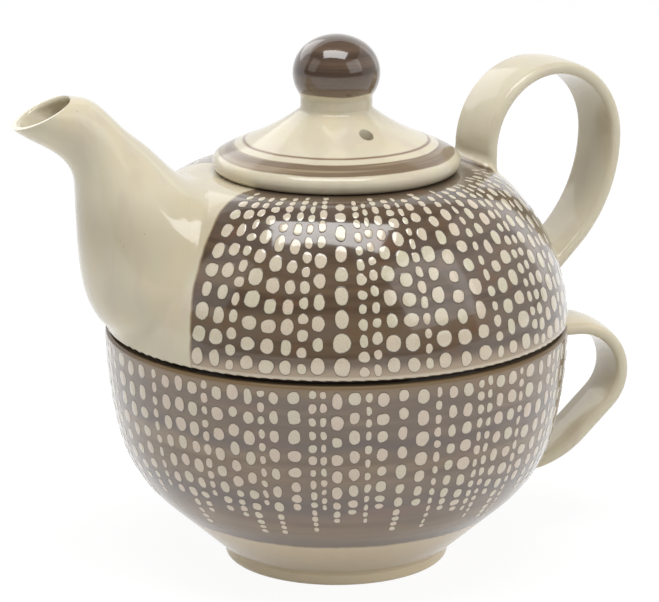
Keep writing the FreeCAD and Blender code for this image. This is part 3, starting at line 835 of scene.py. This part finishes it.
# %% Dots in a column
def place_dots(tree, index, column, row, narrow):
    """The pitch of a dot, its way along the outline, how much it has shrunk there, 0 to 1, and
    where its column ends."""
    start, ragged = tree.asks("Start"), tree.asks("Ragged end")
    tall, short, least = [tree.asks(kind + " pitch") for kind in ("Wide", "Narrow", "Least")]
    calm, end = tree.asks("Shrinks from"), tree.asks("Shrinks to")
    wide_way, narrow_way = start + row * tall, start + row * short
    rough_way = wide_way + (narrow_way - wide_way) * narrow
    late = tree.chance(-1.0, 1.0, column, 21) * ragged
    shrink = tree.rise(rough_way - late * 0.4, calm, end)
    pitch = (1 - narrow) * tall + narrow * short
    pitch = (pitch + (least - pitch) * shrink) * tree.chance(0.88, 1.12, index, 8)
    begin = start + tree.chance(0.0, 0.9, column, 41)
    way = begin + tree.running(pitch, column) - pitch / 2
    return pitch, way, shrink, end + late - ragged * 0.35


def lay_flat(tree, radius):
    """A point for every dot, which keeps its place on the sheet, its size and its tone."""
    columns, rows = tree.asks("Columns", "Int"), tree.asks("Rows", "Int")
    fill, taper = tree.asks("Fill"), tree.asks("Taper")
    index = tree.node("GeometryNodeInputIndex")
    column = (index / rows + 0.001).floor()  # the extra keeps a whole number from falling short
    row = index - column * rows
    narrow, turn, part = place_columns(tree, column, row)
    pitch, way, shrink, last = place_dots(tree, index, column, row, narrow)
    half_wide = part * (2 * math.pi * radius) / 2 * fill
    half_wide = half_wide * tree.chance(0.84, 1.16, index, 33) * (1 - shrink * taper)
    half_tall = pitch / 2 * (fill * tree.chance(0.90, 1.16, index, 31) + shrink * 0.16)
    points = tree.node("GeometryNodePoints", inputs={0: columns * rows})
    for title, value in (
            ("turn", turn), ("way", way), ("number", index), ("half_wide", half_wide),
            ("half_tall", half_tall), ("last", last),
            ("tone", tree.chance(0.0, 1.0, index, 12))):
        points = tree.keep(points, title, value)
    return points


# %% [markdown]
# ### From the sheet to the wall
# Every point of every dot is moved to its place on the outline, spun round the axis, and settled on
# the clay. Dots that would touch the cream, and those past the end of their column, are left out
# before that. Each dot is pushed about a little by noise, so no two have the same outline.

# %% The whole tree
CLEAR_OF_CREAM = 1.9


def wrapped(tree, line, side, turn, way):
    """The spot on the wall for a turn and a way along the outline, and the way out of the clay."""
    spot = tree.node(
        "GeometryNodeSampleCurve", {"mode": "LENGTH", "use_all_curves": True},
        {0: line, 3: way * MM}, 1)
    lean_x, _, lean_z = tree.split(spot.also("Tangent"))
    out = tree.join(lean_z * side, 0.0, lean_x * side * -1)
    return [
        tree.node("ShaderNodeVectorRotate", {"rotation_type": "Z_AXIS"},
                  {0: vector, 3: turn + math.pi}) for vector in (spot, out)]


def dot_pattern(name, brown):
    """The tree that lays dots on a wall, wherever `brown` says that the wall is brown."""
    tree = Pattern(name)
    clay = tree.node("GeometryNodeObjectInfo", inputs={0: tree.asks("Clay", "Object")}, output=4)
    blob = tree.node("GeometryNodeObjectInfo", inputs={0: tree.asks("Blank", "Object")}, output=4)
    slip = tree.asks("Slip", "Material")
    radius, side, uneven = tree.asks("Radius"), tree.asks("Outward"), tree.asks("Uneven")
    line = tree.node("GeometryNodeMeshToCurve", inputs={0: tree.given.also("Geometry")})

    points = lay_flat(tree, radius)
    turn, way = tree.kept("turn"), tree.kept("way")
    middle = tree.stretch(wrapped(tree, line, side, turn, way)[0], 1 / MM, 1 / MM, 1 / MM)
    clear = (brown(tree, middle, CLEAR_OF_CREAM, 0.1) > 0.9) * (way < tree.kept("last"))
    points = tree.node(
        "GeometryNodeDeleteGeometry", {"domain": "POINT"}, {0: points, 1: clear < 0.5})
    points = tree.node("GeometryNodeSetPosition", inputs={
        0: points, 2: tree.join(turn * radius, way, 0.0)})
    size = tree.join(tree.kept("half_wide"), tree.kept("half_tall"), 1.0)
    dots = tree.node("GeometryNodeRealizeInstances", inputs={0: tree.node(
        "GeometryNodeInstanceOnPoints", inputs={0: points, 2: blob, 6: size})})

    across, along, height = tree.split(tree.node("GeometryNodeInputPosition"))
    number = tree.kept("number")  # the noise is taken elsewhere for every dot
    place = tree.join(across, along, number * 7.3)
    across = across + (tree.cloud(place, 2.6, 1.0) - 0.5) * uneven
    along = along + (tree.cloud(tree.join(along, across, number * 3.1), 2.6, 1.0) - 0.5) * uneven
    spot, out = wrapped(tree, line, side, across / radius, along)
    spot = tree.node("GeometryNodeProximity", {"target_element": "FACES"}, {0: clay, 2: spot})
    lift = tree.node("ShaderNodeVectorMath", {"operation": "SCALE"}, {0: out, "Scale": height * MM})
    settled = tree.node("ShaderNodeVectorMath", {"operation": "ADD"}, {0: spot, 1: lift})
    dots = tree.node("GeometryNodeSetPosition", inputs={0: dots, 2: settled})
    dots = tree.node("GeometryNodeSetMaterial", inputs={0: dots, 2: slip})
    tree.node("NodeGroupOutput", inputs={0: dots})
    print(name, "has", len(tree.tree.nodes), "nodes")
    return tree.tree


# %% [markdown]
# ### Running the pattern
# A tree of nodes only shows what it makes. To keep it, the tree is run as a modifier on the
# outline, the finished mesh is copied, and the outline and its modifier are removed. What stays is
# a plain mesh.

# %% Running the pattern
def lay_dots(name, tree, line, sizes):
    """Runs the tree on an outline and keeps the result as a plain mesh."""
    bpy.context.scene.collection.objects.link(line)
    modifier = line.modifiers.new("dots", "NODES")
    modifier.node_group = tree
    for item in tree.interface.items_tree:
        if item.in_out == "INPUT" and item.name != "Geometry":
            modifier[item.identifier] = sizes[item.name]
    drawn = bpy.context.evaluated_depsgraph_get()
    mesh = bpy.data.meshes.new_from_object(
        line.evaluated_get(drawn), preserve_all_data_layers=True, depsgraph=drawn)
    mesh.name = name
    mesh.polygons.foreach_set("use_smooth", [True] * len(mesh.polygons))
    dots = bpy.data.objects.new(name, mesh)
    bpy.context.scene.collection.objects.link(dots)
    line.modifiers.remove(modifier)
    bpy.data.objects.remove(line)
    count = len(mesh.polygons) // len(blank.data.polygons)
    print(name, count, "dots,", len(mesh.polygons), "faces")
    return dots


# %% [markdown]
# ## Slip under glaze
# The slip is off-white, a little pinker or greener from dot to dot, and finely grained. The brown
# glaze has drawn back from each dot and left a dark rim. The rim and the outermost ring of each
# blob wear the same brown as the wall at that spot, so a dot melts into the wall with no visible
# border.

# %% Slip
SLIP_GRAIN = shade(176, 160, 138)


def slip_glaze(name, field, ground, dull, pale, rosy, green):
    """The dots' own material: slip in one of three shades, with the wall round it."""
    glaze = Glaze(name)
    brown = field(glaze, glaze.place)
    wall = dressed(glaze, glaze.place, brown, ground(glaze, glaze.place))
    edge, tone = glaze.attribute("edge"), glaze.attribute("tone")
    grain = glaze.cloud(glaze.place, 0.45, 2.0)
    slip = glaze.mix(glaze.rise(tone, 0.45, 0.8) * 0.5, pale, rosy)
    slip = glaze.mix((1 - glaze.rise(tone, 0.1, 0.4)) * 0.4, slip, green)
    slip = glaze.mix(glaze.rise(grain, 0.42, 0.7) * 0.28, slip, SLIP_GRAIN)
    rim = glaze.hill(edge, 0.82, 0.32)
    wall = glaze.mix(rim * 0.85, wall, DOT_RIM_AND_SEAM_SHADE)
    colour = glaze.mix(glaze.rise(edge, 0.42, 0.74), slip, wall)
    return finish(glaze, colour, brown, dull(glaze, glaze.place))


pot_slip = slip_glaze(
    "pot_slip", pot_brown, pot_ground, lambda bench, place: 0.0,  # glossy all over
    shade(212, 201, 178), shade(214, 195, 174), shade(206, 201, 174))
cup_slip = slip_glaze(
    "cup_slip", cup_brown, cup_ground, cup_dull,
    shade(212, 199, 178), shade(212, 190, 174), shade(205, 199, 176))
print("slips:", pot_slip.name, "and", cup_slip.name)

# %% [markdown]
# ## Dots on the pot
# On the pot the columns start just above the seam and climb over the shoulder to the lid. They get
# closer together and smaller on the way, because the pot gets narrower.

# %% Lay the dots of the pot
pot_dots = lay_dots("pot_dots", dot_pattern("pot_pattern", pot_brown), pot_line, {
    "Clay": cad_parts["teapot"], "Blank": blank, "Slip": pot_slip,
    "Columns": 75, "Rows": 20, "Radius": SEAM_RADIUS, "Start": 1.7, "Outward": 1.0,
    "Narrow share": 0.27, "Narrow width": 0.66, "Wide pitch": 5.6, "Narrow pitch": 4.0,
    "Shrinks from": 30.0, "Shrinks to": 54.0, "Least pitch": 2.7, "Ragged end": 1.8, "Uneven": 0.9,
    "Fill": 0.73, "Taper": 0.26})

# %% [markdown]
# ## Dots on the cup
# On the cup the columns run the other way, from just under the rim down to the foot. The bowl
# narrows fast there, so the dots shrink to a fringe of small dots that ends at a different height
# in each column.

# %% Lay the dots of the cup
cup_dots = lay_dots("cup_dots", dot_pattern("cup_pattern", cup_brown), cup_line, {
    "Clay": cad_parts["cup"], "Blank": blank, "Slip": cup_slip,
    "Columns": 88, "Rows": 26, "Radius": SEAM_RADIUS, "Start": 0.4, "Outward": -1.0,
    "Narrow share": 0.27, "Narrow width": 0.62, "Wide pitch": 5.3, "Narrow pitch": 3.6,
    "Shrinks from": 19.0, "Shrinks to": 44.0, "Least pitch": 2.1, "Ragged end": 8.0, "Uneven": 0.9,
    "Fill": 0.69, "Taper": 0.28})
bpy.data.objects.remove(blank)

# %% [markdown]
# ## Joining the dots to the set
# The dots are hung on one body, named root. Nothing on the set moves by itself, so the dots ride
# on that one body.

# %% Hand over
for dots, slot in ((pot_dots, "pot_glaze"), (cup_dots, "cup_glaze")):
    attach(dots, "root")
